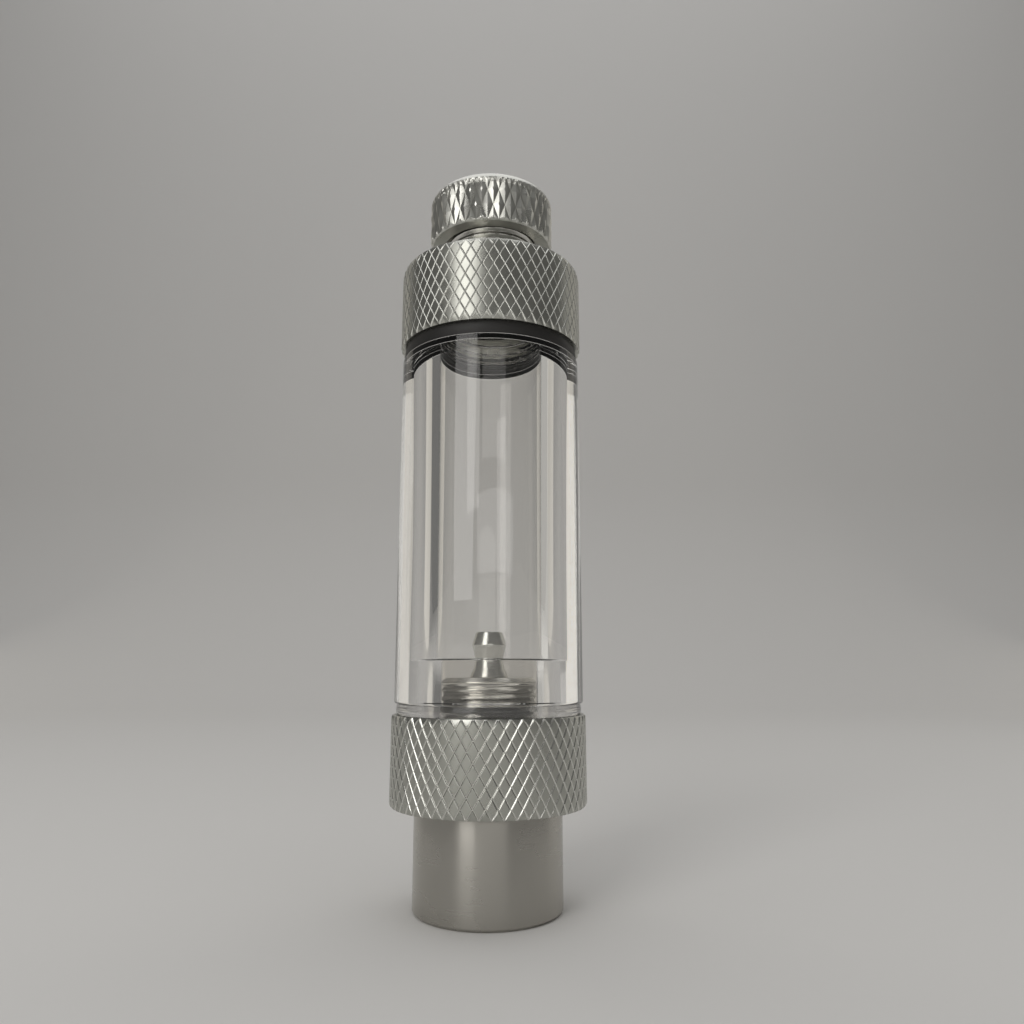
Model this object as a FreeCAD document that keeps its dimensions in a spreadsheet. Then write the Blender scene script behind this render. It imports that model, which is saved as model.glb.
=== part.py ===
"""In-line carbon dioxide bubble counter with a check valve: clear acrylic chamber between two knurled end caps.

Millimetres, +Z up. The origin is the centre of the barrel's bottom face, and every turned piece is centred on Z.
The driving dimensions are in the Sizes sheet. Each piece is a body that stands on its own lower face and is
placed at its height in the stack, so a change in one length moves everything above it.
"""
import FreeCAD, Part
import os
import Sketcher

SIZES = {
    # knurled end caps, the same turned part at both ends
    "collar_od": 20.0,
    "collar_height": 8.85,
    "collar_edge": 0.45,
    # M10 threads between the pieces, with a running gap between the crest and its hole
    "thread_od": 9.9,
    "thread_hole": 10.02,
    "thread_pitch": 0.75,
    "thread_depth": 0.4,
    "thread_start": 0.5,
    # a thread groove's half width as a share of its pitch, and how far its outline stands out past the crest
    "groove_share": 0.4,
    "groove_over": 0.1,
    # barrel of the check valve, its boss and its inside
    "barrel_od": 15.0,
    "barrel_height": 10.0,
    "barrel_edge": 0.45,
    "boss_rise": 3.8,
    "boss_edge": 0.4,
    "inlet_hole": 9.0,
    "inlet_depth": 7.0,
    "inlet_edge": 0.5,
    "relief_od": 10.2,
    "relief_height": 1.0,
    "valve_bore": 7.8,
    "valve_depth": 17.0,
    "passage": 2.4,
    # nozzle in the boss
    "nozzle_shank": 3.0,
    "nozzle_shank_length": 3.0,
    "nozzle_bore": 0.8,
    "nozzle_flare": 4.1,
    "nozzle_waist": 2.9,
    "nozzle_waist_height": 4.65,
    "nozzle_bead": 3.6,
    "nozzle_bead_height": 6.2,
    "nozzle_tip": 2.7,
    "nozzle_height": 7.5,
    # check valve pieces
    "washer_od": 10.0,
    "washer_hole": 4.0,
    "washer_thick": 1.0,
    "seat_height": 2.2,
    "seat_hole": 3.0,
    "seal_od": 5.8,
    "seal_hole": 2.0,
    "seal_thick": 1.0,
    "poppet_pin_height": 0.7,
    "poppet_flange": 6.4,
    "poppet_flange_thick": 1.0,
    "poppet_reach": 3.78,
    "poppet_rib": 1.2,
    "poppet_stem": 2.6,
    "poppet_stem_height": 2.8,
    "spring_od": 5.4,
    "spring_wire": 0.45,
    "spring_coils": 6.0,
    # acrylic chamber and its gaskets
    "base_gasket_thick": 1.1,
    "cap_gasket_thick": 1.4,
    "gasket_od": 19.2,
    "base_gasket_hole": 10.2,
    "cap_gasket_hole": 14.2,
    "chamber_od": 19.5,
    "chamber_bore": 11.0,
    "chamber_height": 36.8,
    "chamber_edge": 0.3,
    "floor_thick": 4.45,
    "neck_od": 13.9,
    "neck_height": 4.65,
    "neck_pitch": 1.0,
    "neck_thread_depth": 0.5,
    "neck_thread_start": 0.9,
    # socket in the top cap
    "socket_od": 14.02,
    "socket_depth": 5.1,
    # outlet stem, its washer and its hose nipple
    "flange_od": 12.6,
    "flange_thick": 1.0,
    "stem_washer_hole": 10.2,
    "stem_washer_thick": 0.5,
    "stem_rise": 6.25,
    "stem_edge": 0.4,
    "stem_bore": 2.0,
    "stem_mouth": 5.0,
    "nipple_od": 4.0,
    "nipple_foot": 5.8,
    "nipple_foot_height": 0.9,
    "nipple_wall": 2.8,
    "nipple_lead": 0.6,
    "nipple_tip": 3.0,
    # hose nut and the ring inside it
    "nut_od": 14.0,
    "nut_height": 5.9,
    "nut_gap": 3.9,
    "nut_edge": 0.3,
    "nut_round": 0.9,
    "nut_round_middle": 0.26,
    "nut_lip": 1.2,
    "hose_hole": 6.2,
    "hose_lead": 0.3,
    "ring_od": 9.4,
    "ring_height": 1.5,
    "ring_taper": 0.5,
}

# grooves in each of the ring threads
BOSS_GROOVES = 4
NECK_GROOVES = 4
STEM_GROOVES = 8

# heights of the seats in the stack, each as a formula on the sheet
HEIGHTS = {
    "washer_seat": "inlet_depth - washer_thick",
    "valve_seat_top": "inlet_depth + seat_height",
    "poppet_seat": "valve_seat_top + seal_thick - poppet_pin_height",
    "spring_seat": "valve_seat_top + seal_thick + poppet_flange_thick",
    "boss_top": "barrel_height + collar_height + boss_rise",
    "gasket_seat": "barrel_height + collar_height",
    "chamber_seat": "gasket_seat + base_gasket_thick",
    "shoulder": "chamber_seat + chamber_height",
    "cap_seat": "shoulder + cap_gasket_thick",
    "cap_top": "cap_seat + collar_height",
    "stem_seat": "cap_seat + socket_depth - stem_washer_thick - flange_thick",
    "nut_seat": "cap_top + nut_gap",
    "ring_seat": "nut_seat + nut_height - nut_lip - ring_height",
}

doc = FreeCAD.newDocument("bubble_counter")


def write_sheet():
    """One row for each size and each height: its name, and its value or formula under that alias."""
    sheet = doc.addObject("Spreadsheet::Sheet", "Sizes")
    row = 0
    for alias, value in SIZES.items():
        row += 1
        sheet.set(f"A{row}", alias)
        sheet.set(f"B{row}", str(value))
        sheet.setAlias(f"B{row}", alias)
    for alias, formula in HEIGHTS.items():
        row += 1
        sheet.set(f"A{row}", alias)
        sheet.set(f"B{row}", f"={formula}")
        sheet.setAlias(f"B{row}", alias)
    doc.recompute()
    return sheet


sheet = write_sheet()


def on_sheet(formula):
    """The formula with each alias pointed at the sheet, for setExpression."""
    words = formula.replace("(", "( ").replace(")", " )").split()
    return " ".join(f"Sizes.{word}" if word in SIZES or word in HEIGHTS else word for word in words)


def value_of(formula):
    """The formula's number with the sheet's present sizes."""
    return float(sheet.evalExpression(on_sheet(formula)))


def new_body(name, seat="0"):
    """An empty body named after its piece, standing at the given height."""
    body = doc.addObject("PartDesign::Body", name)
    body.Label = name
    body.setExpression("Placement.Base.z", f"({on_sheet(seat)}) * 1 mm")
    return body


def sketch_on(body, role, name):
    """An empty sketch on one of the body's own origin planes."""
    plane = next(item for item in body.Origin.OriginFeatures if item.Role == role)
    sketch = body.newObject("Sketcher::SketchObject", name)
    sketch.AttachmentSupport = (plane, "")
    sketch.MapMode = "FlatFace"
    return sketch


def draw_outline(sketch, corners):
    """A closed outline through corners (radius formula, height formula), each one bound to the sheet."""
    points = [FreeCAD.Vector(value_of(across), value_of(up), 0) for across, up in corners]
    count = len(points)
    for index, point in enumerate(points):
        sketch.addGeometry(Part.LineSegment(point, points[(index + 1) % count]), False)
    for index in range(count):
        sketch.addConstraint(Sketcher.Constraint("Coincident", index, 2, (index + 1) % count, 1))
    for index, (across, up) in enumerate(corners):
        bind_corner(sketch, index, "DistanceX", across, -2)
        bind_corner(sketch, index, "DistanceY", up, -1)


def bind_corner(sketch, line, kind, formula, axis):
    """Hold the start of a line on an axis where its formula is 0, and at the formula's distance elsewhere."""
    if formula == "0":
        sketch.addConstraint(Sketcher.Constraint("PointOnObject", line, 1, axis))
        return
    number = sketch.addConstraint(Sketcher.Constraint(kind, -1, 1, line, 1, value_of(formula)))
    sketch.setExpression(f"Constraints[{number}]", on_sheet(formula))


def turned(name, seat, corners):
    """A piece turned about Z from an outline on the XZ plane, standing at the seat's height."""
    body = new_body(name, seat)
    sketch = sketch_on(body, "XZ_Plane", f"{name}_outline")
    draw_outline(sketch, corners)
    turn = body.newObject("PartDesign::Revolution", f"{name}_turn")
    turn.Profile = sketch
    turn.ReferenceAxis = (sketch, ["V_Axis"])
    turn.Angle = 360
    sketch.Visibility = False
    return body


def ring_thread(body, crest, first, pitch, depth, count):
    """Ring grooves at the thread's pitch: one V groove in the crest, repeated upwards."""
    base = f"{body.Name}_thread"
    sketch = sketch_on(body, "XZ_Plane", f"{base}_form")
    half = f"{pitch} * groove_share"
    draw_outline(sketch, [
        (f"{crest} + groove_over", f"{first} - {half}"),
        (f"{crest} - {depth}", first),
        (f"{crest} + groove_over", f"{first} + {half}"),
    ])
    before = body.Shape.Volume
    groove = body.newObject("PartDesign::Groove", f"{base}_groove")
    groove.Profile = sketch
    groove.ReferenceAxis = (sketch, ["V_Axis"])
    groove.Angle = 360
    sketch.Visibility = False
    doc.recompute()
    assert groove.Shape.Volume < before, f"{base} cut nothing"
    pattern = body.newObject("PartDesign::LinearPattern", f"{base}_pattern")
    pattern.Originals = [groove]
    pattern.Direction = (sketch, ["V_Axis"])
    pattern.Occurrences = count
    pattern.setExpression("Length", on_sheet(f"{pitch} * {count - 1}"))
    body.Tip = pattern
    doc.recompute()


def make_check_valve_body():
    """Barrel with its inlet thread and the relief that holds the washer, the stem through the cap, and the boss."""
    body = turned("check_valve_body", "0", [
        ("inlet_hole / 2 + inlet_edge", "0"),
        ("barrel_od / 2 - barrel_edge", "0"),
        ("barrel_od / 2", "barrel_edge"),
        ("barrel_od / 2", "barrel_height"),
        ("thread_od / 2", "barrel_height"),
        ("thread_od / 2", "boss_top - boss_edge"),
        ("thread_od / 2 - boss_edge", "boss_top"),
        ("nozzle_shank / 2", "boss_top"),
        ("nozzle_shank / 2", "boss_top - nozzle_shank_length"),
        ("passage / 2", "boss_top - nozzle_shank_length"),
        ("passage / 2", "valve_depth"),
        ("valve_bore / 2", "valve_depth"),
        ("valve_bore / 2", "inlet_depth"),
        ("relief_od / 2", "inlet_depth"),
        ("relief_od / 2", "inlet_depth - relief_height"),
        ("inlet_hole / 2", "inlet_depth - relief_height"),
        ("inlet_hole / 2", "inlet_edge"),
    ])
    doc.recompute()
    ring_thread(body, "thread_od / 2", "gasket_seat + thread_start", "thread_pitch", "thread_depth", BOSS_GROOVES)
    return body


def end_cap(name, seat, socket):
    """A knurled end cap: a collar with chamfered rims, an M10 hole, and a socket below if one is given."""
    rim = "collar_od / 2"
    outer = [
        (f"{rim} - collar_edge", "0"),
        (rim, "collar_edge"),
        (rim, "collar_height - collar_edge"),
        (f"{rim} - collar_edge", "collar_height"),
        ("thread_hole / 2", "collar_height"),
    ]
    if socket:
        inner = [
            ("thread_hole / 2", "socket_depth"),
            ("socket_od / 2", "socket_depth"),
            ("socket_od / 2", "0"),
        ]
    else:
        inner = [("thread_hole / 2", "0")]
    return turned(name, seat, outer + inner)


def make_bubble_nozzle():
    """Shank in the boss, flared foot on its top face, a waist, a bead and the tip, with a fine bore."""
    return turned("bubble_nozzle", "boss_top - nozzle_shank_length", [
        ("nozzle_bore / 2", "0"),
        ("nozzle_shank / 2", "0"),
        ("nozzle_shank / 2", "nozzle_shank_length"),
        ("nozzle_flare / 2", "nozzle_shank_length"),
        ("nozzle_waist / 2", "nozzle_waist_height"),
        ("nozzle_bead / 2", "nozzle_bead_height"),
        ("nozzle_tip / 2", "nozzle_height"),
        ("nozzle_bore / 2", "nozzle_height"),
    ])


def ring(name, seat, outer, hole, thick):
    """A flat ring: a gasket, a washer or a seat."""
    return turned(name, seat, [
        (f"{hole} / 2", "0"),
        (f"{outer} / 2", "0"),
        (f"{outer} / 2", thick),
        (f"{hole} / 2", thick),
    ])


def make_valve_poppet():
    """Pin through the rubber face, flange, spring stem, and three ribs that guide the flange in the bore."""
    flange_top = "poppet_pin_height + poppet_flange_thick"
    body = turned("valve_poppet", "poppet_seat", [
        ("0", "0"),
        ("seal_hole / 2", "0"),
        ("seal_hole / 2", "poppet_pin_height"),
        ("poppet_flange / 2", "poppet_pin_height"),
        ("poppet_flange / 2", flange_top),
        ("poppet_stem / 2", flange_top),
        ("poppet_stem / 2", f"{flange_top} + poppet_stem_height"),
        ("0", f"{flange_top} + poppet_stem_height"),
    ])
    doc.recompute()
    sketch = sketch_on(body, "XY_Plane", "valve_poppet_rib_plan")
    sketch.setExpression("AttachmentOffset.Base.z", f"({on_sheet('poppet_pin_height')}) * 1 mm")
    corners = [
        ("poppet_stem / 2", "0 - poppet_rib / 2"),
        ("poppet_reach", "0 - poppet_rib / 2"),
        ("poppet_reach", "poppet_rib / 2"),
        ("poppet_stem / 2", "poppet_rib / 2"),
    ]
    draw_outline(sketch, corners)
    rib = body.newObject("PartDesign::Pad", "valve_poppet_rib")
    rib.Profile = sketch
    rib.setExpression("Length", on_sheet("poppet_flange_thick"))
    sketch.Visibility = False
    doc.recompute()
    ribs = body.newObject("PartDesign::PolarPattern", "valve_poppet_ribs")
    ribs.Originals = [rib]
    ribs.Axis = (sketch, ["N_Axis"])
    ribs.Angle = 360
    ribs.Occurrences = 3
    body.Tip = ribs
    return body


def make_valve_spring():
    """Round wire wound between the poppet's flange and the end of the valve bore."""
    body = new_body("valve_spring", "spring_seat")
    sketch = sketch_on(body, "XZ_Plane", "valve_spring_wire")
    mean_radius = "(spring_od - spring_wire) / 2"
    centre = FreeCAD.Vector(value_of(mean_radius), value_of("spring_wire / 2"), 0)
    circle = Part.Circle(centre, FreeCAD.Vector(0, 0, 1), value_of("spring_wire / 2"))
    sketch.addGeometry(circle, False)
    bindings = [
        (Sketcher.Constraint("DistanceX", -1, 1, 0, 3, centre.x), mean_radius),
        (Sketcher.Constraint("DistanceY", -1, 1, 0, 3, centre.y), "spring_wire / 2"),
        (Sketcher.Constraint("Radius", 0, circle.Radius), "spring_wire / 2"),
    ]
    for constraint, formula in bindings:
        number = sketch.addConstraint(constraint)
        sketch.setExpression(f"Constraints[{number}]", on_sheet(formula))
    coil = body.newObject("PartDesign::AdditiveHelix", "valve_spring_coil")
    coil.Profile = sketch
    coil.ReferenceAxis = (sketch, ["V_Axis"])
    coil.Mode = 0
    rise = "(valve_depth - spring_seat - spring_wire)"
    coil.setExpression("Height", on_sheet(rise))
    coil.setExpression("Pitch", on_sheet(f"{rise} / spring_coils"))
    sketch.Visibility = False
    return body


def make_chamber():
    """Clear thick-walled body: tapped floor, round bore, flat shoulder and the threaded neck for the cap."""
    wall = "chamber_od / 2"
    body = turned("chamber", "chamber_seat", [
        ("thread_hole / 2", "0"),
        (f"{wall} - chamber_edge", "0"),
        (wall, "chamber_edge"),
        (wall, "chamber_height - chamber_edge"),
        (f"{wall} - chamber_edge", "chamber_height"),
        ("neck_od / 2", "chamber_height"),
        ("neck_od / 2", "chamber_height + neck_height"),
        ("chamber_bore / 2", "chamber_height + neck_height"),
        ("chamber_bore / 2", "floor_thick"),
        ("thread_hole / 2", "floor_thick"),
    ])
    doc.recompute()
    start = "chamber_height + neck_thread_start"
    ring_thread(body, "neck_od / 2", start, "neck_pitch", "neck_thread_depth", NECK_GROOVES)
    return body


def make_outlet_stem():
    """Flange inside the cap, M10 thread up through it, and the hose nipple with its conical foot."""
    thread_top = "cap_top + stem_rise - stem_seat"
    foot_top = f"{thread_top} + nipple_foot_height"
    wall_top = f"{foot_top} + nipple_wall"
    body = turned("outlet_stem", "stem_seat", [
        ("stem_mouth / 2", "0"),
        ("flange_od / 2", "0"),
        ("flange_od / 2", "flange_thick"),
        ("thread_od / 2", "flange_thick"),
        ("thread_od / 2", f"{thread_top} - stem_edge"),
        ("thread_od / 2 - stem_edge", thread_top),
        ("nipple_foot / 2", thread_top),
        ("nipple_od / 2", foot_top),
        ("nipple_od / 2", wall_top),
        ("nipple_tip / 2", f"{wall_top} + nipple_lead"),
        ("stem_bore / 2", f"{wall_top} + nipple_lead"),
        ("stem_bore / 2", "stem_mouth / 2 - stem_bore / 2"),
    ])
    doc.recompute()
    start = "cap_top - stem_seat + thread_start"
    ring_thread(body, "thread_od / 2", start, "thread_pitch", "thread_depth", STEM_GROOVES)
    return body


def make_compression_nut():
    """Knurled nut: rounded upper rim, threaded skirt, and a lip with the hole the hose goes through."""
    rim = "nut_od / 2"
    return turned("compression_nut", "nut_seat", [
        ("thread_hole / 2", "0"),
        (f"{rim} - nut_edge", "0"),
        (rim, "nut_edge"),
        (rim, "nut_height - nut_round"),
        (f"{rim} - nut_round_middle", "nut_height - nut_round_middle"),
        (f"{rim} - nut_round", "nut_height"),
        ("hose_hole / 2 + hose_lead", "nut_height"),
        ("hose_hole / 2", "nut_height - hose_lead"),
        ("hose_hole / 2", "nut_height - nut_lip"),
        ("thread_hole / 2", "nut_height - nut_lip"),
    ])


def make_tube_clamp_ring():
    """Ring under the nut's lip, tapered inside at the bottom, that presses the hose on the nipple's foot."""
    return turned("tube_clamp_ring", "ring_seat", [
        ("hose_hole / 2 + ring_taper", "0"),
        ("ring_od / 2", "0"),
        ("ring_od / 2", "ring_height"),
        ("hose_hole / 2", "ring_height"),
        ("hose_hole / 2", "ring_taper"),
    ])


pieces = [
    make_check_valve_body(),
    end_cap("base_collar", "barrel_height", socket=False),
    make_bubble_nozzle(),
    ring("inlet_washer", "washer_seat", "washer_od", "washer_hole", "washer_thick"),
    ring("valve_seat", "inlet_depth", "valve_bore", "seat_hole", "seat_height"),
    ring("poppet_seal", "valve_seat_top", "seal_od", "seal_hole", "seal_thick"),
    make_valve_poppet(),
    make_valve_spring(),
    ring("base_gasket", "gasket_seat", "gasket_od", "base_gasket_hole", "base_gasket_thick"),
    make_chamber(),
    ring("cap_gasket", "shoulder", "gasket_od", "cap_gasket_hole", "cap_gasket_thick"),
    end_cap("top_cap", "cap_seat", socket=True),
    ring("stem_washer", "stem_seat + flange_thick", "flange_od", "stem_washer_hole", "stem_washer_thick"),
    make_outlet_stem(),
    make_tube_clamp_ring(),
    make_compression_nut(),
]

doc.recompute()
for item in doc.Objects:
    assert not {"Invalid", "Error"} & set(item.State), f"{item.Name} is {item.State}"
for piece in pieces:
    shape = piece.Shape
    assert not shape.isNull() and shape.isValid(), f"{piece.Label} has no valid shape"
    assert len(shape.Solids) == 1, f"{piece.Label} is {len(shape.Solids)} solids"

os.makedirs("parts", exist_ok=True)
for piece in pieces:
    piece.Shape.exportStep(f"parts/{piece.Label}.step")
    box = piece.Shape.BoundBox
    print(f"{piece.Label:20s} z {box.ZMin:7.2f} to {box.ZMax:7.2f}  width {box.XLength:6.2f}"
          f"  volume {piece.Shape.Volume:9.2f}")
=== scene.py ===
"""Clear bubble counter between two knurled aluminium end caps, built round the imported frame."""
import math
import bpy
import numpy as np
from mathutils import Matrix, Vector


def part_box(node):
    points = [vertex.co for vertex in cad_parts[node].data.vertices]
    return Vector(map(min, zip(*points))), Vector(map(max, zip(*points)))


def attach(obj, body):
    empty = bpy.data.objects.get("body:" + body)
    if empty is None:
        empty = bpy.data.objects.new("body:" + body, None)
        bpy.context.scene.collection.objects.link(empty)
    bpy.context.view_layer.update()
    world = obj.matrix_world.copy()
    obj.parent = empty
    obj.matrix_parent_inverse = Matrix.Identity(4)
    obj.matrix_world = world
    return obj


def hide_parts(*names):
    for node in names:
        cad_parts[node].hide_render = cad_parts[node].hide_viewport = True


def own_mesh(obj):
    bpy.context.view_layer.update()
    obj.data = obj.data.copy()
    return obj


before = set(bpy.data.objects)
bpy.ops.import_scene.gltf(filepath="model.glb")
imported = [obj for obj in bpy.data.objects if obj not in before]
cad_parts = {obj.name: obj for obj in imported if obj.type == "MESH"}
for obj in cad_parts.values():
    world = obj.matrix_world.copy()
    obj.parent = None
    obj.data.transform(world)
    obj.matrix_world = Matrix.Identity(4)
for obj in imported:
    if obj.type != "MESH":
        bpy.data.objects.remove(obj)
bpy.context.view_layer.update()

# ---------------------------------------------------------------- check valve body
# The barrel, the stem that runs up through the lower cap and the M10 boss are one piece of aluminium
# bar, turned on a lathe. The boss carries a rolled thread; the barrel is left bright from the tool.
MM = 0.001
BARREL_RADIUS = 7.5
BARREL_TOP = 10.0
BARREL_EDGE = 0.3
STEM_RADIUS = 4.95
BOSS_EDGE = 0.4
BOSS_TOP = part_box("check_valve_body")[1][2] / MM
COLLAR_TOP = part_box("base_collar")[1][2] / MM
INLET_RADIUS = 4.5
INLET_LEAD_IN = 0.5
VALVE_BORE_LOW = 7.0
VALVE_BORE_TOP = 17.0
VALVE_BORE_RADIUS = 3.9
PASSAGE_RADIUS = 1.2
NOZZLE_SHANK_RADIUS = 1.5
NOZZLE_SHANK_LENGTH = 3.0
FINE_PITCH = 0.75
BOSS_THREAD_DEPTH = 0.22
BOSS_THREAD_LOW = COLLAR_TOP - 0.2
LATHE_STEPS = 192


def rounded_profile(corners, steps=4):
    """Closed outline from corners (radius, height, rounding): each rounded corner becomes an arc tangent to
    its two sides, starting rounding / tan(half the corner angle) before the corner."""
    points = []
    for index, (across, up, rounding) in enumerate(corners):
        here = np.array([across, up])
        before = np.array(corners[index - 1][:2]) - here
        after = np.array(corners[(index + 1) % len(corners)][:2]) - here
        if not rounding:
            points.append(here[None])
            continue
        before /= np.linalg.norm(before)
        after /= np.linalg.norm(after)
        half = math.acos(float(np.clip(before @ after, -1, 1))) / 2
        middle = (before + after) / np.linalg.norm(before + after)
        centre = here + middle * rounding / math.sin(half)
        start = here + before * rounding / math.tan(half) - centre
        end = here + after * rounding / math.tan(half) - centre
        turn = math.pi - 2 * half
        share = np.linspace(0, 1, steps + 1)[:, None]
        arc = (np.sin((1 - share) * turn) * start + np.sin(share * turn) * end) / math.sin(turn)
        points.append(centre + arc)
    return np.concatenate(points)


def with_rows(profile, low, high, step):
    """The closed outline with extra points, step apart, on every stretch that lies between low and high."""
    points = []
    for index, start in enumerate(profile):
        end = profile[(index + 1) % len(profile)]
        inside = min(start[1], end[1]) >= low - 1e-6 and max(start[1], end[1]) <= high + 1e-6
        count = max(1, int(np.linalg.norm(end - start) / step)) if inside else 1
        points.append(start + (end - start) * np.arange(count)[:, None] / count)
    return np.concatenate(points)


def turned_surface(profile, carve=None, steps=LATHE_STEPS):
    """A closed outline carried round Z: x = r cos(turn), y = r sin(turn), z = height, with r changed by
    carve(turn, r, height) where a thread is cut. Returns points in millimetres and outward quads."""
    turn = np.linspace(0, 2 * math.pi, steps, endpoint=False)[None, :]
    radius = np.repeat(profile[:, :1], steps, axis=1)
    height = np.repeat(profile[:, 1:], steps, axis=1)
    if carve:
        radius = carve(turn, radius, height)
    points = np.stack([radius * np.cos(turn), radius * np.sin(turn), height], axis=-1).reshape(-1, 3)
    row, column = np.meshgrid(np.arange(len(profile)), np.arange(steps), indexing="ij")
    row_on = (row + 1) % len(profile)
    column_on = (column + 1) % steps
    quads = np.stack([row * steps + column, row * steps + column_on,
                      row_on * steps + column_on, row_on * steps + column], axis=-1).reshape(-1, 4)
    return points, quads


def screw_thread(pitch, depth, low, high, wall):
    """Right-hand thread: the cut is depth times a flat-topped V wave of (height / pitch - turn / full
    turn). It fades to nothing over half a pitch at both ends, and is only on the wall's own radius."""
    def carve(turn, radius, height):
        phase = (height / pitch - turn / (2 * math.pi)) % 1.0
        wave = np.clip(1.25 - 2.6 * np.abs(phase - 0.5), 0, 1)
        fade = np.clip(2 * (height - low) / pitch, 0, 1) * np.clip(2 * (high - height) / pitch, 0, 1)
        on_wall = np.abs(radius - wall) < 0.02
        return radius - depth * wave * fade * on_wall
    return carve


def thread_tone(points, wall, depth, low, high):
    """How deep each point lies in its thread, from 0 on the crest to 1 at the root, between two heights."""
    cut = np.clip((wall - np.hypot(points[:, 0], points[:, 1])) / depth, 0, 1)
    return cut * (points[:, 2] > low) * (points[:, 2] < high)


def new_piece(name, points, faces, material, sharp=32.0, groove=None, second=None, second_faces=None):
    """A mesh object at the world origin from points in millimetres. Edges sharper than the given angle
    stay crisp. The groove values, one per point, go into an attribute that the finish reads. The second
    material, if there is one, goes on the faces marked 1 in second_faces."""
    mesh = bpy.data.meshes.new(name)
    corners = faces.tolist() if isinstance(faces, np.ndarray) else faces
    mesh.from_pydata((points * MM).tolist(), [], corners)
    mesh.polygons.foreach_set("use_smooth", np.ones(len(mesh.polygons), bool))
    mesh.set_sharp_from_angle(angle=math.radians(sharp))
    depth = mesh.attributes.new("groove", "FLOAT", "POINT")
    depth.data.foreach_set("value", np.zeros(len(points)) if groove is None else groove)
    mesh.materials.append(material)
    if second:
        mesh.materials.append(second)
        mesh.polygons.foreach_set("material_index", second_faces.astype(np.int32))
    mesh.update()
    piece = bpy.data.objects.new(name, mesh)
    bpy.context.scene.collection.objects.link(piece)
    return piece


def start_material(name, colour, roughness, metallic=0.0):
    """A material with one Principled shader, and its node tree, shader and Object coordinates."""
    material = bpy.data.materials.new(name)
    material.use_nodes = True
    tree = material.node_tree
    shader = tree.nodes["Principled BSDF"]
    shader.inputs["Base Color"].default_value = (*colour, 1)
    shader.inputs["Roughness"].default_value = roughness
    shader.inputs["Metallic"].default_value = metallic
    place = tree.nodes.new("ShaderNodeTexCoord").outputs["Object"]
    return material, tree, shader, place


def noise_at(tree, vector, scale, detail=4.0):
    """Noise of the given scale, in waves per metre, on a vector."""
    noise = tree.nodes.new("ShaderNodeTexNoise")
    noise.inputs["Scale"].default_value = scale
    noise.inputs["Detail"].default_value = detail
    noise.inputs["Roughness"].default_value = 0.55
    tree.links.new(vector, noise.inputs["Vector"])
    return noise.outputs["Fac"]


def spread(tree, value, low, high, start=0.3, end=0.7):
    """The value's stretch from start to end carried onto low to high."""
    ramp = tree.nodes.new("ShaderNodeMapRange")
    ramp.inputs["From Min"].default_value = start
    ramp.inputs["From Max"].default_value = end
    ramp.inputs["To Min"].default_value = low
    ramp.inputs["To Max"].default_value = high
    tree.links.new(value, ramp.inputs["Value"])
    return ramp.outputs["Result"]


def bumped(tree, shader, height, distance):
    """Bump of the given height in metres on the shader."""
    bump = tree.nodes.new("ShaderNodeBump")
    bump.inputs["Distance"].default_value = distance
    bump.inputs["Strength"].default_value = 1.0
    tree.links.new(height, bump.inputs["Height"])
    tree.links.new(bump.outputs["Normal"], shader.inputs["Normal"])


def lathe_coordinates(tree, place, around):
    """Vector of (distance from Z, 0, height) plus around times (x, y, 0). As around is small, noise on it
    changes little along each of the tool's rings."""
    split = tree.nodes.new("ShaderNodeSeparateXYZ")
    tree.links.new(place, split.inputs[0])
    flat = tree.nodes.new("ShaderNodeCombineXYZ")
    tree.links.new(split.outputs["X"], flat.inputs["X"])
    tree.links.new(split.outputs["Y"], flat.inputs["Y"])
    length = tree.nodes.new("ShaderNodeVectorMath")
    length.operation = "LENGTH"
    tree.links.new(flat.outputs[0], length.inputs[0])
    stretch = tree.nodes.new("ShaderNodeVectorMath")
    stretch.operation = "SCALE"
    stretch.inputs["Scale"].default_value = around
    tree.links.new(flat.outputs[0], stretch.inputs[0])
    rings = tree.nodes.new("ShaderNodeCombineXYZ")
    tree.links.new(length.outputs["Value"], rings.inputs["X"])
    tree.links.new(split.outputs["Z"], rings.inputs["Z"])
    joined = tree.nodes.new("ShaderNodeVectorMath")
    joined.operation = "ADD"
    tree.links.new(rings.outputs[0], joined.inputs[0])
    tree.links.new(stretch.outputs[0], joined.inputs[1])
    return joined.outputs["Vector"]


def turned_metal(name, colour, roughness, mark=0.0000012, root_shade=0.82):
    """Metal with the fine rings of a turning tool and faint smears that change its gloss. Its thread roots
    are painted darker by a factor of the colour: painted shade in the hollows."""
    material, tree, shader, place = start_material(name, colour, roughness, metallic=1.0)
    rings = noise_at(tree, lathe_coordinates(tree, place, 0.01), 3200.0, detail=2.0)
    smear = noise_at(tree, place, 200.0, detail=1.0)
    both = tree.nodes.new("ShaderNodeMath")
    both.operation = "MULTIPLY_ADD"
    both.inputs[1].default_value = 0.25
    tree.links.new(rings, both.inputs[0])
    tree.links.new(smear, both.inputs[2])
    tree.links.new(spread(tree, both.outputs[0], roughness - 0.04, roughness + 0.06, 0.35, 0.9),
                   shader.inputs["Roughness"])
    groove = tree.nodes.new("ShaderNodeAttribute")
    groove.attribute_name = "groove"
    painted_groove_tone = tree.nodes.new("ShaderNodeMix")
    painted_groove_tone.data_type = "RGBA"
    painted_groove_tone.inputs["A"].default_value = (*colour, 1)
    # painted shade: the thread roots take a darker copy of the colour
    painted_groove_tone.inputs["B"].default_value = (*[root_shade * part for part in colour], 1)
    tree.links.new(groove.outputs["Fac"], painted_groove_tone.inputs["Factor"])
    tree.links.new(painted_groove_tone.outputs["Result"], shader.inputs["Base Color"])
    bumped(tree, shader, rings, mark)
    return material


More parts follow.
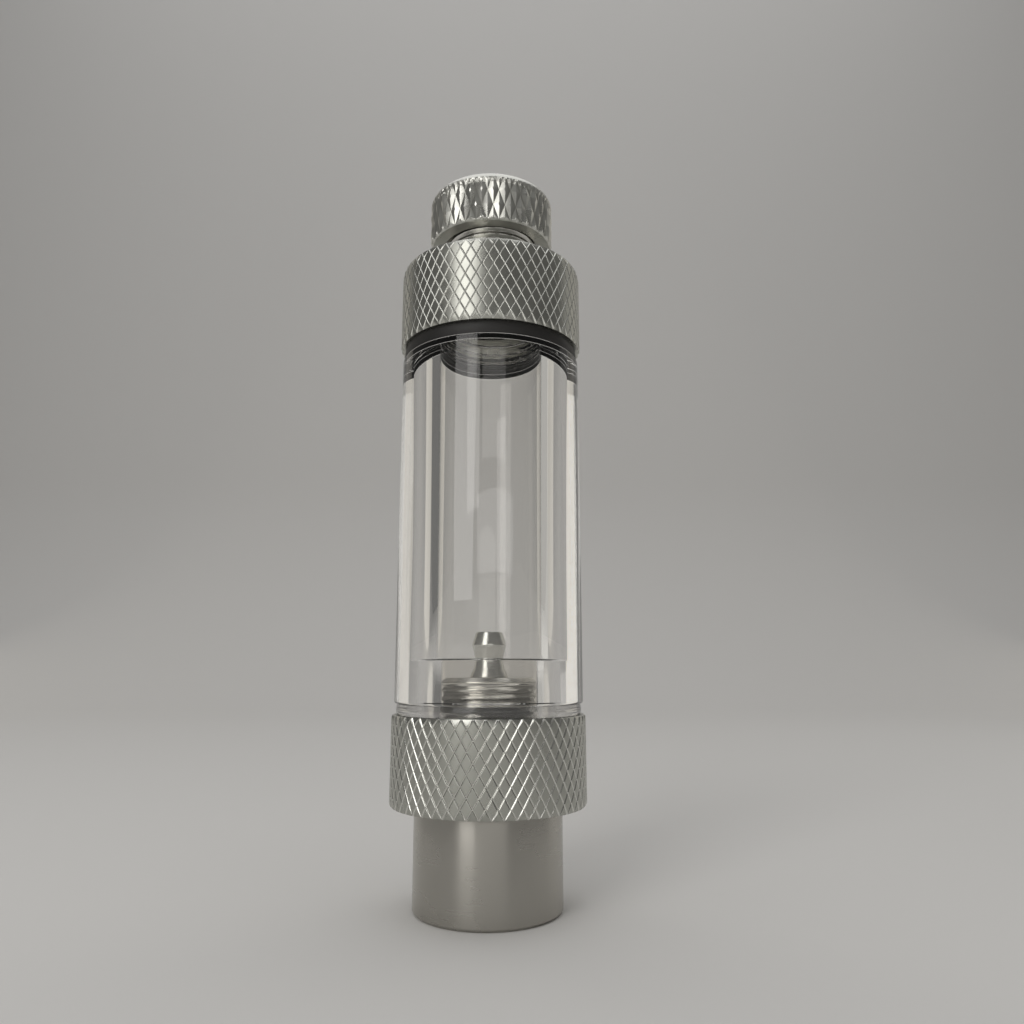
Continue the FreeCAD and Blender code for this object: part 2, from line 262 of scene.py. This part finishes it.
FINE_MARK = 0.0000003
# The barrel's colour is far darker than the boss's, though both are the same bar: painted shade.
shaded_bright_aluminium = turned_metal("bright_turned_aluminium_shaded", (0.45, 0.435, 0.40), 0.28, mark=FINE_MARK)
bright_shader = shaded_bright_aluminium.node_tree.nodes["Principled BSDF"]
bright_shader.inputs["Anisotropic"].default_value = 0.75
bright_shader.inputs["Anisotropic Rotation"].default_value = 0.25
# The threads of this metal get strong painted shade in their roots.
thread_aluminium = turned_metal("cut_thread_aluminium", (0.80, 0.79, 0.75), 0.20, mark=FINE_MARK, root_shade=0.6)

shank_low = BOSS_TOP - NOZZLE_SHANK_LENGTH
valve_profile = rounded_profile([
    (INLET_RADIUS + INLET_LEAD_IN, 0.0, 0.05), (BARREL_RADIUS - BARREL_EDGE, 0.0, 0.1),
    (BARREL_RADIUS, BARREL_EDGE, 0.1), (BARREL_RADIUS, BARREL_TOP, 0.05), (STEM_RADIUS, BARREL_TOP, 0),
    (STEM_RADIUS, BOSS_THREAD_LOW, 0), (STEM_RADIUS, BOSS_TOP - BOSS_EDGE, 0.1),
    (STEM_RADIUS - BOSS_EDGE, BOSS_TOP, 0.1), (NOZZLE_SHANK_RADIUS, BOSS_TOP, 0),
    (NOZZLE_SHANK_RADIUS, shank_low, 0), (PASSAGE_RADIUS, shank_low, 0),
    (PASSAGE_RADIUS, VALVE_BORE_TOP, 0), (VALVE_BORE_RADIUS, VALVE_BORE_TOP, 0),
    (VALVE_BORE_RADIUS, VALVE_BORE_LOW, 0), (INLET_RADIUS, VALVE_BORE_LOW, 0),
    (INLET_RADIUS, INLET_LEAD_IN, 0),
])
valve_profile = with_rows(valve_profile, BOSS_THREAD_LOW, BOSS_TOP, 0.04)
boss_thread = screw_thread(FINE_PITCH, BOSS_THREAD_DEPTH, BOSS_THREAD_LOW, BOSS_TOP - 0.5, STEM_RADIUS)
valve_points, valve_quads = turned_surface(valve_profile, boss_thread)
# Thread depths, from which the boss's thread roots get their painted shade.
valve_groove = thread_tone(valve_points, STEM_RADIUS, BOSS_THREAD_DEPTH, COLLAR_TOP, BOSS_TOP - 0.35)
on_boss = valve_points[valve_quads[:, 0], 2] > BARREL_TOP
valve_body = new_piece("check_valve_body_turned", valve_points, valve_quads, shaded_bright_aluminium,
                       groove=valve_groove, second=thread_aluminium, second_faces=on_boss)
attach(valve_body, "base")
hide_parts("check_valve_body")

# ---------------------------------------------------------------- inside the check valve
# A pressed brass seat, a brass poppet with a rubber face, the steel spring that closes it and the nylon
# washer in the inlet, out of sight in the barrel. In use the spring shortens as the poppet lifts; the coil
# here is built at one length.
SPRING_WIRE = 0.225
SPRING_MIDDLE = 2.475
SPRING_TURNS = 6


def dress(node, material):
    """Gives a frame node its finish in place of the plain one."""
    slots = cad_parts[node].data.materials
    slots.clear()
    slots.append(material)


def soft_material(name, colour, roughness, grain, height):
    """Rubber or nylon: fine moulded grain in the surface and a slight change of gloss and tone."""
    material, tree, shader, place = start_material(name, colour, roughness)
    fine = noise_at(tree, place, grain)
    broad = noise_at(tree, place, 300.0)
    tree.links.new(spread(tree, broad, roughness - 0.08, roughness + 0.08), shader.inputs["Roughness"])
    tone = tree.nodes.new("ShaderNodeMix")
    tone.data_type = "RGBA"
    tone.inputs["A"].default_value = (*[0.85 * part for part in colour], 1)
    tone.inputs["B"].default_value = (*[min(1.0, 1.2 * part) for part in colour], 1)
    tree.links.new(spread(tree, broad, 0, 1), tone.inputs["Factor"])
    tree.links.new(tone.outputs["Result"], shader.inputs["Base Color"])
    bumped(tree, shader, fine, height)
    return material


brass = turned_metal("turned_brass", (0.80, 0.60, 0.30), 0.28)
spring_steel = turned_metal("drawn_spring_wire", (0.62, 0.61, 0.59), 0.25)
black_rubber = soft_material("black_rubber", (0.018, 0.017, 0.016), 0.55, 5200.0, 0.000004)
nylon = soft_material("white_nylon", (0.74, 0.73, 0.68), 0.5, 4200.0, 0.000003)
for node, material in (("valve_seat", brass), ("valve_poppet", brass), ("poppet_seal", black_rubber),
                       ("inlet_washer", nylon)):
    dress(node, material)


def wire_coil(radius, wire, low, high, turns, per_turn=48, around=12):
    """Coiled wire: its middle line is (radius cos t, radius sin t, an even rise from low to high), and its
    skin is that line plus wire times (cos a * outward + sin a * across), where across is the line's
    direction crossed with outward. Returns points and faces, the two cut ends closed."""
    t = np.linspace(0, 2 * math.pi * turns, per_turn * turns + 1)
    outward = np.column_stack([np.cos(t), np.sin(t), np.zeros(len(t))])
    line = radius * outward + np.outer(np.linspace(low + wire, high - wire, len(t)), [0, 0, 1])
    along = np.gradient(line, axis=0)
    along /= np.linalg.norm(along, axis=1, keepdims=True)
    across = np.cross(along, outward)
    a = np.linspace(0, 2 * math.pi, around, endpoint=False)[None, :, None]
    skin = line[:, None] + wire * (np.cos(a) * outward[:, None] + np.sin(a) * across[:, None])
    row, column = np.meshgrid(np.arange(len(t) - 1), np.arange(around), indexing="ij")
    column_on = (column + 1) % around
    quads = np.stack([row * around + column, row * around + column_on,
                      (row + 1) * around + column_on, (row + 1) * around + column], axis=-1).reshape(-1, 4)
    ends = [list(range(around))[::-1], list(range((len(t) - 1) * around, len(t) * around))]
    return skin.reshape(-1, 3), quads.tolist() + ends


spring_low, spring_high = (corner[2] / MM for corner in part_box("valve_spring"))
spring_points, spring_faces = wire_coil(SPRING_MIDDLE, SPRING_WIRE, spring_low, spring_high, SPRING_TURNS)
spring = new_piece("valve_spring_coil", spring_points, spring_faces, spring_steel)
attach(spring, "base")
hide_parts("valve_spring")
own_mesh(spring)

# ---------------------------------------------------------------- lower end cap
# Aluminium collar with a diamond knurl: two sets of shallow grooves rolled in at about 30 degrees to the
# axis leave flat diamonds. The rims are chamfered after knurling, and the cap is satin anodised.
CAP_RADIUS = 10.0
CAP_CHAMFER = 0.2
CAP_GROOVES = 54
CAP_DIAMOND = 2.0
CAP_CROWN = 0.01
KNURL_FADE = 0.45
CAP_LEAD_IN = 0.29
CAP_FACE_EDGE = CAP_RADIUS - CAP_CHAMFER - 0.25
COLLAR_GROOVE_WIDTH = 0.125
COLLAR_GROOVE_DEPTH = 0.075
TAPPED_RADIUS = 5.01
CAP_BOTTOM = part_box("base_collar")[0][2] / MM


def knurled_wall(grooves, diamond, half_width, depth, curve, crown, low, high, outline,
                 plain_top=0.0, shares=(0.22, 0.55, 1.0)):
    """Knurled wall on the lattice of its own grooves. Groove lines of one set are whole values of
    a = grooves * turn / full turn + z / diamond, of the other set b, the same less z / diamond, so a point
    is turn = half turn * (a + b) / grooves, z = diamond * (a - b) / 2. The cut is (1 - distance from the
    nearest line / half width) to the power curve, and the wall is the outline's radius less depth times
    the cut, less a slight crown on each diamond. The cuts fade out below a plain top band, and points past
    low or high are held there. The lattice has points at the given shares of the half width, and each of
    its cells is split along the side that lets it fold at the diamonds' edges.
    Returns points, triangles, groove depth from 0 to 1, and the bottom and top rings in order round Z."""
    flank = np.append(half_width * np.array(shares), half_width + 0.03)
    offsets = np.concatenate([[0.0], flank, 1 - flank[::-1]])
    per_cell = len(offsets)
    rows = int((2 * (high - low) / diamond + 2.5) * per_cell)
    first, back = np.meshgrid(np.arange(grooves * per_cell), np.arange(rows), indexing="ij")

    def on_line(index):
        return index // per_cell + offsets[index % per_cell]

    start = 2 * low / diamond - 1.0
    a = on_line(first)
    b = on_line(first - back) - start
    turn = math.pi * (a + b) / grooves
    height = np.clip(diamond * (a - b) / 2, low, high)
    past = (diamond * (a - b) / 2 <= low) * 1 - (diamond * (a - b) / 2 >= high) * 1
    shifted_a = grooves * turn / (2 * math.pi) + height / diamond
    shifted_b = grooves * turn / (2 * math.pi) - height / diamond + start
    near = np.minimum(np.abs(shifted_a - np.round(shifted_a)), np.abs(shifted_b - np.round(shifted_b)))
    v_cut = np.clip(1 - near / half_width, 0, 1) ** curve
    dome = crown * (1 - np.abs(np.sin(math.pi * shifted_a) * np.sin(math.pi * shifted_b)))
    full = np.clip((high - plain_top - height) / KNURL_FADE, 0, 1) if plain_top else 1.0
    v_cut = v_cut * full
    radius = np.minimum(outline(height), outline((low + high) / 2) - depth * v_cut - dome * full)
    points = np.stack([radius * np.cos(turn), radius * np.sin(turn), height], axis=-1).reshape(-1, 3)
    index = first * rows + back
    here, right = index[:, 1:-1], np.roll(index, -1, axis=0)
    quads = np.stack([here, right[:, 2:], right[:, 1:-1], index[:, :-2]], axis=-1).reshape(-1, 4)
    rising_a = (first % per_cell <= per_cell // 2)[:, 1:-1].reshape(-1, 1)
    rising_b = ((first - back) % per_cell <= per_cell // 2)[:, 1:-1].reshape(-1, 1)
    quads = np.where(rising_a == rising_b, quads, np.roll(quads, -1, axis=1))
    side = past.reshape(-1)
    kept = quads[np.abs(side[quads].sum(axis=1)) < 4]
    triangles = np.concatenate([kept[:, [0, 1, 2]], kept[:, [0, 2, 3]]])
    used = np.unique(triangles)
    renumber = np.full(len(points), -1)
    renumber[used] = np.arange(len(used))
    points, side, groove = points[used], side[used], v_cut.reshape(-1)[used]
    angle = np.arctan2(points[:, 1], points[:, 0])
    rings = [np.flatnonzero(side == which) for which in (1, -1)]
    bottom, top = [ring[np.argsort(angle[ring])] for ring in rings]
    return points, renumber[triangles], groove, bottom, top


def zipped(points, lower, upper):
    """Triangles between two rings with different numbers of points: going round, each next point of either
    ring makes one triangle with the last points passed on both."""
    turn = np.arctan2(points[:, 1], points[:, 0])
    order = [ring[np.argsort(turn[ring])] for ring in (lower, upper)]
    angles = np.concatenate([turn[order[0]], turn[order[1]]])
    which = np.concatenate([np.zeros(len(lower), int), np.ones(len(upper), int)])
    walk = np.argsort(angles, kind="stable")
    which = which[walk]
    passed_lower = np.cumsum(which == 0) - 1
    passed_upper = np.cumsum(which == 1) - 1
    last_lower = order[0][passed_lower % len(lower)]
    last_upper = order[1][passed_upper % len(upper)]
    following = np.roll(np.where(which == 0, last_lower, last_upper), -1)
    return np.stack([last_lower, following, last_upper], axis=-1)


def knurled_piece(wall, inner):
    """A closed solid from a knurled wall and the rest of its outline, an open line from the wall's top rim
    over and down to its bottom rim, turned about Z and zipped to the wall at both ends."""
    points, triangles, groove, bottom, top = wall
    steps = LATHE_STEPS
    turn = np.linspace(-math.pi, math.pi, steps, endpoint=False)[None, :]
    rest = np.stack([inner[:, :1] * np.cos(turn), inner[:, :1] * np.sin(turn),
                     np.repeat(inner[:, 1:], steps, axis=1)], axis=-1).reshape(-1, 3)
    row, column = np.meshgrid(np.arange(len(inner) - 1), np.arange(steps), indexing="ij")
    column_on = (column + 1) % steps
    base = len(points)
    rest_quads = np.stack([row * steps + column, row * steps + column_on,
                           (row + 1) * steps + column_on, (row + 1) * steps + column], axis=-1)
    rest_quads = base + rest_quads.reshape(-1, 4)
    every = np.concatenate([points, rest])
    first_ring = base + np.arange(steps)
    last_ring = base + (len(inner) - 1) * steps + np.arange(steps)
    over = zipped(every, top, first_ring)
    under = zipped(every, last_ring, bottom)
    faces = triangles.tolist() + rest_quads.tolist() + over.tolist() + under.tolist()
    return every, faces, np.concatenate([groove, np.zeros(len(rest))])


def knurled_metal(name, colour, roughness, groove_paint, polish):
    """Metal flats with an even fine grain and slow changes of gloss. The cut grooves are less rough by the
    polish and painted in a second colour, a painted glint if lighter and painted shade if darker."""
    material, tree, shader, place = start_material(name, colour, roughness, metallic=1.0)
    fine = noise_at(tree, place, 11000.0, detail=2.0)
    smear = noise_at(tree, place, 350.0)
    groove = tree.nodes.new("ShaderNodeAttribute")
    groove.attribute_name = "groove"
    gloss = tree.nodes.new("ShaderNodeMath")
    gloss.operation = "MULTIPLY_ADD"
    gloss.inputs[1].default_value = -polish
    tree.links.new(groove.outputs["Fac"], gloss.inputs[0])
    tree.links.new(spread(tree, smear, roughness - 0.05, roughness + 0.06), gloss.inputs[2])
    tree.links.new(gloss.outputs[0], shader.inputs["Roughness"])
    painted_groove_tone = tree.nodes.new("ShaderNodeMix")
    painted_groove_tone.data_type = "RGBA"
    painted_groove_tone.inputs["A"].default_value = (*colour, 1)
    # the grooves' second colour is painted light: lighter for a painted glint, darker for painted shade
    painted_groove_tone.inputs["B"].default_value = (*groove_paint, 1)
    tree.links.new(groove.outputs["Fac"], painted_groove_tone.inputs["Factor"])
    tree.links.new(painted_groove_tone.outputs["Result"], shader.inputs["Base Color"])
    bumped(tree, shader, fine, 0.0000008)
    return material


def chamfered(radius, low, high, chamfer):
    """Outline of a collar: its radius, less what the height lacks of the chamfer near either rim."""
    return lambda height: radius - np.clip(chamfer - np.minimum(height - low, high - height), 0, None)


# The caps' much lighter groove colour is a painted glint along the grooves.
satin_aluminium = knurled_metal(
    "satin_knurled_aluminium", (0.45, 0.453, 0.415), 0.29, (0.84, 0.84, 0.80), 0.13)
collar_outline = chamfered(CAP_RADIUS, CAP_BOTTOM, COLLAR_TOP, CAP_CHAMFER)
collar_wall = knurled_wall(CAP_GROOVES, CAP_DIAMOND, COLLAR_GROOVE_WIDTH, COLLAR_GROOVE_DEPTH, 1.4,
                           CAP_CROWN, CAP_BOTTOM, COLLAR_TOP, collar_outline)
collar_inside = np.array([
    (CAP_FACE_EDGE, COLLAR_TOP), (TAPPED_RADIUS + CAP_LEAD_IN, COLLAR_TOP),
    (TAPPED_RADIUS, COLLAR_TOP - CAP_LEAD_IN), (TAPPED_RADIUS, CAP_BOTTOM + CAP_LEAD_IN),
    (TAPPED_RADIUS + CAP_LEAD_IN, CAP_BOTTOM), (CAP_FACE_EDGE, CAP_BOTTOM),
])
collar_points, collar_faces, collar_groove = knurled_piece(collar_wall, collar_inside)
collar = new_piece("base_collar_knurled", collar_points, collar_faces, satin_aluminium, 34.0, collar_groove)
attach(collar, "base")
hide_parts("base_collar")

# ---------------------------------------------------------------- bubble nozzle
# Small turned nozzle pressed into the boss: a flared foot, a waist, a soft bead and a blunt tip with a fine
# bore, where each gas bubble forms and breaks away.
nozzle_metal = turned_metal("fine_turned_nozzle", (0.68, 0.68, 0.65), 0.24, mark=FINE_MARK)
nozzle_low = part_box("bubble_nozzle")[0][2] / MM
nozzle_profile = rounded_profile([
    (0.4, 0.0, 0), (1.5, 0.0, 0.1), (1.5, 3.0, 0), (2.05, 3.0, 0.08), (1.6, 3.9, 0.5), (1.42, 4.7, 0.8),
    (1.8, 6.2, 0.5), (1.35, 7.5, 0.15), (0.65, 7.5, 0.05), (0.4, 7.2, 0.1),
], steps=6) + np.array([0, nozzle_low])
nozzle_points, nozzle_quads = turned_surface(nozzle_profile, steps=96)
nozzle = new_piece("bubble_nozzle_turned", nozzle_points, nozzle_quads, nozzle_metal)
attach(nozzle, "base")
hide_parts("bubble_nozzle")

# ---------------------------------------------------------------- flat gaskets
# Two flat rings, clear silicone under the acrylic body and black rubber on its shoulder. Each bulges a
# little where it is squeezed. The clear one stands a hair off its faces, so that light gets through.
GASKET_RADIUS = 9.55
GASKET_BULGE = 0.12
CLEAR_GAP = 0.02
silicone = soft_material("clear_silicone", (0.90, 0.88, 0.84), 0.10, 5200.0, 0.000002)
silicone_shader = silicone.node_tree.nodes["Principled BSDF"]
silicone_shader.inputs["Transmission Weight"].default_value = 0.92
silicone_shader.inputs["IOR"].default_value = 1.41


def squeezed_ring(inner, outer, low, high):
    """Flat ring whose outer edge bulges: a shallow half wave between its two faces."""
    lift = np.linspace(0, 1, 13)
    bulge = GASKET_BULGE * (np.sin(math.pi * lift) - 1)
    edge = np.stack([outer + bulge, low + (high - low) * lift], axis=-1)
    inside = np.array([(inner, high), (inner, low)])
    return turned_surface(np.concatenate([edge, inside]))


for node, finish, slot, inner, gap in (("base_gasket", silicone, "clear_silicone", 5.1, CLEAR_GAP),
                                       ("cap_gasket", black_rubber, "black_rubber", 7.1, 0.0)):
    low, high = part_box(node)[0][2] / MM + gap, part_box(node)[1][2] / MM - gap
    gasket = new_piece(f"{node}_pressed", *squeezed_ring(inner, GASKET_RADIUS, low, high), finish)
    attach(gasket, node)
    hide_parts(node)

# ---------------------------------------------------------------- acrylic chamber
# Thick-walled body turned from clear acrylic rod and polished: a floor with a drilled, unpolished hole for
# the boss, a round bore, a flat shoulder and a threaded neck for the upper cap.
CHAMBER_RADIUS = 9.75
BORE_RADIUS = 5.5
FLOOR_THICK = 4.45
NECK_RADIUS = 6.95
NECK_PITCH = 1.0
NECK_THREAD_DEPTH = 0.45
chamber_low, chamber_high = (corner[2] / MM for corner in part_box("chamber"))
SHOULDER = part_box("cap_gasket")[0][2] / MM
FLOOR_TOP = chamber_low + FLOOR_THICK


def clear_plastic(name, colour, low, high, relief):
    """Clear acrylic whose gloss varies between two roughnesses along the rings of the tool that cut it."""
    material, tree, shader, place = start_material(name, colour, low)
    shader.inputs["Transmission Weight"].default_value = 1.0
    shader.inputs["IOR"].default_value = 1.49
    rings = noise_at(tree, lathe_coordinates(tree, place, 0.02), 2600.0, detail=3.0)
    tree.links.new(spread(tree, rings, low, high, 0.45, 0.75), shader.inputs["Roughness"])
    bumped(tree, shader, rings, relief)
    return material


polished = clear_plastic("polished_acrylic", (0.975, 0.97, 0.955), 0.0, 0.035, 0.00000025)
# The drilled hole is rougher, and its darker tint is painted shade round the boss.
drilled_and_shaded = clear_plastic("drilled_and_shaded_acrylic", (0.80, 0.78, 0.74), 0.05, 0.12, 0.0000004)
chamber_profile = rounded_profile([
    (TAPPED_RADIUS + 0.3, chamber_low, 0), (CHAMBER_RADIUS, chamber_low, 0.25),
    (CHAMBER_RADIUS, SHOULDER, 0.25), (NECK_RADIUS, SHOULDER, 0), (NECK_RADIUS, chamber_high, 0.25),
    (BORE_RADIUS, chamber_high, 0.2), (BORE_RADIUS, FLOOR_TOP, 0.12), (TAPPED_RADIUS, FLOOR_TOP, 0.1),
    (TAPPED_RADIUS, chamber_low + 0.3, 0),
], steps=6)
chamber_profile = with_rows(chamber_profile, SHOULDER, chamber_high, 0.05)
neck_thread = screw_thread(NECK_PITCH, NECK_THREAD_DEPTH, SHOULDER + 0.4, chamber_high - 0.1, NECK_RADIUS)
chamber_points, chamber_quads = turned_surface(chamber_profile, neck_thread, 256)
middles = chamber_points[chamber_quads].mean(axis=1)
# Faces of the hole, which get the rougher acrylic with painted shade.
in_hole = (np.hypot(middles[:, 0], middles[:, 1]) < BORE_RADIUS - 0.05) & (middles[:, 2] < FLOOR_TOP + 0.01)
chamber = new_piece("chamber_turned", chamber_points, chamber_quads, polished,
                    second=drilled_and_shaded, second_faces=in_hole)
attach(chamber, "chamber")
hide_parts("chamber")

# ---------------------------------------------------------------- upper end cap
# The same collar as below with narrower knurl grooves, and a threaded socket under it that screws down over
# the acrylic neck on to the gasket.
TOP_LOW, TOP_HIGH = (corner[2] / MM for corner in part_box("top_cap"))
SOCKET_RADIUS = 7.01
SOCKET_TOP = TOP_LOW + 5.1
SOCKET_LEAD_IN = 0.3
CAP_GROOVE_WIDTH = 0.09
CAP_GROOVE_DEPTH = 0.052
cap_outline = chamfered(CAP_RADIUS, TOP_LOW, TOP_HIGH, CAP_CHAMFER)
cap_wall = knurled_wall(CAP_GROOVES, CAP_DIAMOND, CAP_GROOVE_WIDTH, CAP_GROOVE_DEPTH, 1.5, CAP_CROWN,
                        TOP_LOW, TOP_HIGH, cap_outline)
cap_inside = np.array([
    (CAP_FACE_EDGE, TOP_HIGH), (TAPPED_RADIUS + CAP_LEAD_IN, TOP_HIGH),
    (TAPPED_RADIUS, TOP_HIGH - CAP_LEAD_IN), (TAPPED_RADIUS, SOCKET_TOP), (SOCKET_RADIUS, SOCKET_TOP),
    (SOCKET_RADIUS, TOP_LOW + SOCKET_LEAD_IN), (SOCKET_RADIUS + SOCKET_LEAD_IN, TOP_LOW),
    (CAP_FACE_EDGE, TOP_LOW),
])
cap_points, cap_faces, cap_groove = knurled_piece(cap_wall, cap_inside)
top_cap = new_piece("top_cap_knurled", cap_points, cap_faces, satin_aluminium, 34.0, cap_groove)
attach(top_cap, "cap")
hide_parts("top_cap")

# ---------------------------------------------------------------- outlet stem
# Turned aluminium: a flange that a nylon washer seals inside the upper cap, the M10 neck for the hose nut,
# and the nipple that the hose is pushed over, with a conical foot at its base.
FLANGE_RADIUS = 6.3
FLANGE_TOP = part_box("stem_washer")[0][2] / MM
NIPPLE_RADIUS = 2.0
GAS_RADIUS = 1.0
STEM_THREAD_DEPTH = 0.24
stem_low, stem_high = (corner[2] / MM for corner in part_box("outlet_stem"))
NECK_TOP = TOP_HIGH + 6.25
stem_profile = rounded_profile([
    (2.5, stem_low, 0.1), (FLANGE_RADIUS, stem_low, 0.1), (FLANGE_RADIUS, FLANGE_TOP, 0.05),
    (STEM_RADIUS, FLANGE_TOP, 0), (STEM_RADIUS, NECK_TOP - 0.4, 0.1), (STEM_RADIUS - 0.4, NECK_TOP, 0.05),
    (2.9, NECK_TOP, 0.1), (NIPPLE_RADIUS, NECK_TOP + 0.9, 0.3), (NIPPLE_RADIUS, NECK_TOP + 3.7, 0.1),
    (1.5, stem_high, 0.1), (GAS_RADIUS, stem_high, 0.1), (GAS_RADIUS, stem_low + 1.5, 0),
])
stem_profile = with_rows(stem_profile, FLANGE_TOP, NECK_TOP, 0.035)
stem_thread = screw_thread(FINE_PITCH, STEM_THREAD_DEPTH, TOP_HIGH + 0.1, NECK_TOP - 0.2, STEM_RADIUS)
stem_points, stem_quads = turned_surface(stem_profile, stem_thread)
# Thread depths, from which the neck's thread roots get their painted shade.
stem_groove = thread_tone(stem_points, STEM_RADIUS, STEM_THREAD_DEPTH, TOP_HIGH, NECK_TOP - 0.35)
stem = new_piece("outlet_stem_turned", stem_points, stem_quads, thread_aluminium, groove=stem_groove)
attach(stem, "cap")
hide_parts("outlet_stem")
dress("stem_washer", nylon)

# ---------------------------------------------------------------- hose nut and its clamp ring
# Small knurled nut with long, deep diamonds that run out in a rounded upper rim. The nylon ring under its
# lip presses the hose on to the nipple's foot.
NUT_RADIUS = 7.0
NUT_ROUND = 1.15
NUT_EDGE = 0.3
NUT_LIP = 1.2
NUT_GROOVES = 34
NUT_DIAMOND = 3.6
NUT_GROOVE_WIDTH = 0.42
NUT_GROOVE_DEPTH = 0.19
HOSE_RADIUS = 3.1
nut_low, nut_high = (corner[2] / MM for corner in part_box("compression_nut"))
# The nut's darker groove colour is painted shade in its grooves.
nut_metal = knurled_metal("bright_knurled_nut", (0.66, 0.66, 0.62), 0.29, (0.52, 0.52, 0.48), 0.0)
nut_wall_top = nut_high - 0.22


def nut_outline(height):
    """The nut's radius, rounded at the top rim by a quarter circle and chamfered at the bottom."""
    rise = np.clip(np.asarray(height) - (nut_high - NUT_ROUND), 0, NUT_ROUND)
    rounding = NUT_ROUND - np.sqrt(NUT_ROUND ** 2 - rise ** 2)
    return NUT_RADIUS - rounding - np.clip(NUT_EDGE - (np.asarray(height) - nut_low), 0, None)


nut_wall = knurled_wall(NUT_GROOVES, NUT_DIAMOND, NUT_GROOVE_WIDTH, NUT_GROOVE_DEPTH, 1.0, 0.0,
                        nut_low, nut_wall_top, nut_outline, plain_top=0.7,
                        shares=(0.14, 0.3, 0.46, 0.62, 0.8, 1.0))
rim_heights = np.linspace(nut_wall_top + 0.05, nut_high, 5)
nut_rim = np.stack([nut_outline(rim_heights), rim_heights], axis=-1)
nut_inside = np.concatenate([nut_rim, np.array([
    (HOSE_RADIUS + 0.4, nut_high), (HOSE_RADIUS, nut_high - 0.4), (HOSE_RADIUS, nut_high - NUT_LIP),
    (TAPPED_RADIUS, nut_high - NUT_LIP), (TAPPED_RADIUS, nut_low + 0.4), (5.4, nut_low), (6.4, nut_low),
])])
nut_points, nut_faces, nut_groove = knurled_piece(nut_wall, nut_inside)
nut = new_piece("compression_nut_knurled", nut_points, nut_faces, nut_metal, 14.0, nut_groove)
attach(nut, "nut")
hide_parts("compression_nut")
dress("tube_clamp_ring", nylon)

# ---------------------------------------------------------------- floor, light and camera
# A pale sweep that rises behind the counter, one large soft light on the left, a low strip in front, a weak
# light on the right, two warm panels behind and a large soft light above. None is part of the counter.
SWEEP_HALF = 0.8
SWEEP_FRONT = -0.5
SWEEP_TOP = 0.9
SWEEP_BACK = 0.34
SWEEP_CURVE = 0.16

sweep_turn = np.linspace(0, math.pi / 2, 17)
sweep_bend = SWEEP_CURVE * np.stack([np.sin(sweep_turn), 1 - np.cos(sweep_turn)], axis=-1)
sweep_line = np.concatenate([
    np.array([(SWEEP_FRONT, 0.0)]),
    np.array([(SWEEP_BACK, 0.0)]) + sweep_bend,
    np.array([(SWEEP_BACK + SWEEP_CURVE, SWEEP_TOP)]),
])
sweep_points = np.concatenate([
    np.column_stack([np.full(len(sweep_line), side), sweep_line]) for side in (-SWEEP_HALF, SWEEP_HALF)])
strip = np.arange(len(sweep_line) - 1)
sweep_quads = np.stack([strip, strip + len(sweep_line), strip + len(sweep_line) + 1, strip + 1], axis=-1)
paper, tree, shader, place = start_material("pale_paper", (0.78, 0.77, 0.755), 0.85)
bumped(tree, shader, noise_at(tree, place, 900.0), 0.00001)
sweep = new_piece("floor_sweep", sweep_points / MM, sweep_quads, paper)


def soft_light(name, place, aim, width, height, power, colour=(1, 1, 1)):
    """A rectangular light at a place in metres, turned to face a point."""
    lamp = bpy.data.lights.new(name, "AREA")
    lamp.shape = "RECTANGLE"
    lamp.size = width
    lamp.size_y = height
    lamp.energy = power
    lamp.color = colour
    holder = bpy.data.objects.new(name, lamp)
    bpy.context.scene.collection.objects.link(holder)
    holder.location = place
    direction = np.array(aim) - np.array(place)
    tilt = math.acos(-direction[2] / np.linalg.norm(direction))
    holder.rotation_euler = (tilt, 0, math.atan2(direction[1], direction[0]) - math.pi / 2)


middle = (0, 0, 0.04)
day = (1.0, 0.985, 0.96)
warm = (1.0, 0.94, 0.82)
soft_light("window_left", (-0.175, -0.303, 0.21), middle, 0.17, 0.38, 0.47, day)
soft_light("window_front", (0.053, -0.38, 0.095), middle, 0.30, 0.07, 0.09, day)
soft_light("window_right", (0.274, 0.122, 0.12), middle, 0.10, 0.40, 0.035, (1.0, 0.98, 0.92))
soft_light("panel_behind_left", (-0.372, 0.335, 0.20), middle, 0.17, 0.50, 0.078, warm)
soft_light("panel_behind_right", (0.372, 0.335, 0.20), middle, 0.17, 0.50, 0.070, warm)
soft_light("ceiling", (0.0, 0.02, 0.80), middle, 0.92, 0.92, 2.3)

world = bpy.data.worlds.new("soft_room")
bpy.context.scene.world = world
world.use_nodes = True
background = world.node_tree.nodes["Background"]
background.inputs["Color"].default_value = (0.81, 0.80, 0.775, 1)
background.inputs["Strength"].default_value = 0.18

CAMERA_PLACE = (0.0024, -0.0853, 0.0237)
CAMERA_PITCH = 10.9
lens = bpy.data.cameras.new("camera")
lens.lens = 28.1
lens.sensor_width = 36.0
lens.clip_start = 0.002
lens.clip_end = 20.0
camera = bpy.data.objects.new("camera", lens)
bpy.context.scene.collection.objects.link(camera)
camera.location = CAMERA_PLACE
camera.rotation_euler = (math.radians(90 + CAMERA_PITCH), 0, 0)
bpy.context.scene.camera = camera
bpy.context.scene.view_settings.view_transform = "Standard"
